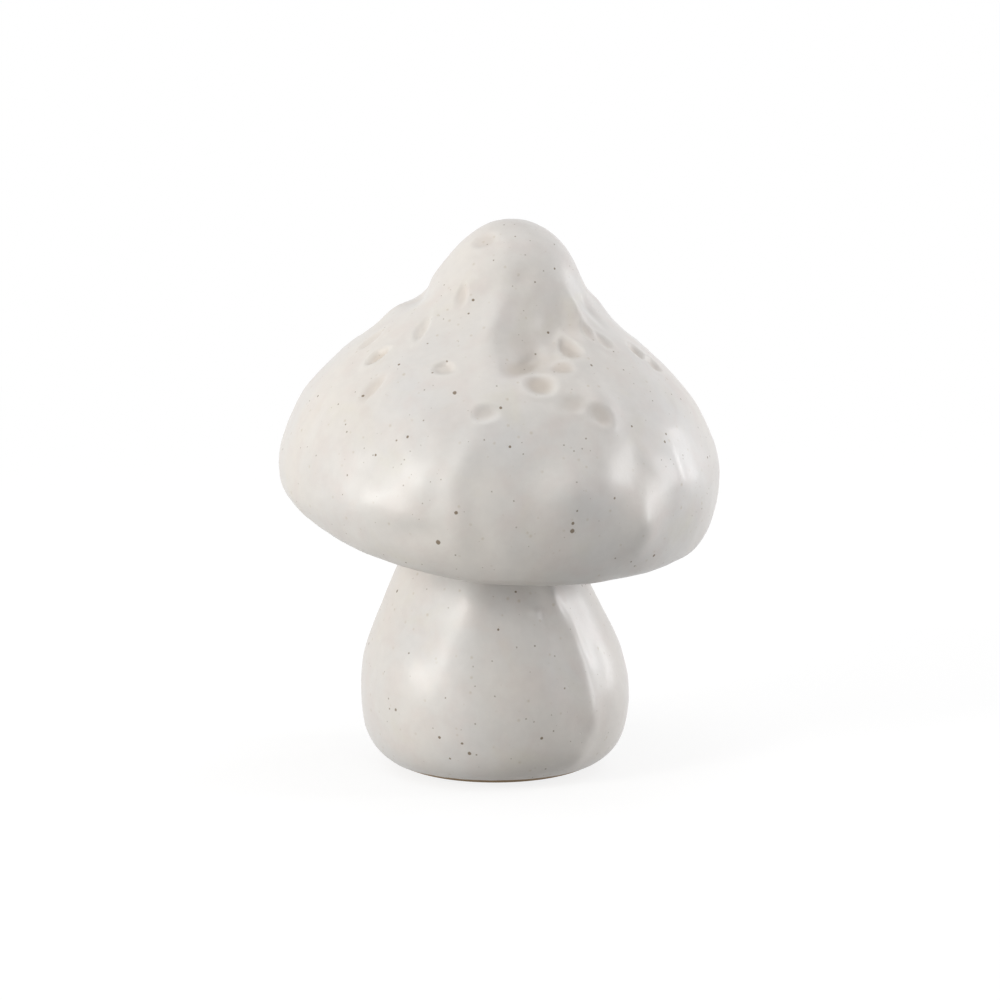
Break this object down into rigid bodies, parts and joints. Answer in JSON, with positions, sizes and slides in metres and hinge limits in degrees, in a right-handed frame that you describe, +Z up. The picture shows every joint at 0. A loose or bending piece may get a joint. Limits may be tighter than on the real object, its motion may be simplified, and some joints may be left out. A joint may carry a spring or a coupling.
{
  "type": "mushroom ornament",
  "caption": "Hand-modelled ceramic mushroom ornament: hollow peaked cap with finger-pressed dents on a bulbous hollow stem, off-white speckled glaze, felt-padded foot.",
  "frame": {"origin": "on the surface the pads stand on, under the middle of the cap's outline", "axes": "+Z up; -Y is the front with the deepest finger presses; +X is to the right, where the tip leans and the cap's low edge hangs lowest"},
  "size_m": [0.1104, 0.1103, 0.1386],
  "materials": {
    "cap_glaze": "satin off-white glaze with fine iron-brown speckles",
    "stem_glaze": "satin off-white glaze with fine iron-brown speckles",
    "bare_clay": "matt unglazed buff clay",
    "felt": "matt pressed wool felt"
  },
  "bodies": {
    "root": {"cap_shell": "cap_glaze", "stem_shell": "stem_glaze", "luting_slip": "bare_clay", "foot_pad_1": "felt", "foot_pad_2": "felt", "foot_pad_3": "felt"}
  },
  "joints": []
}
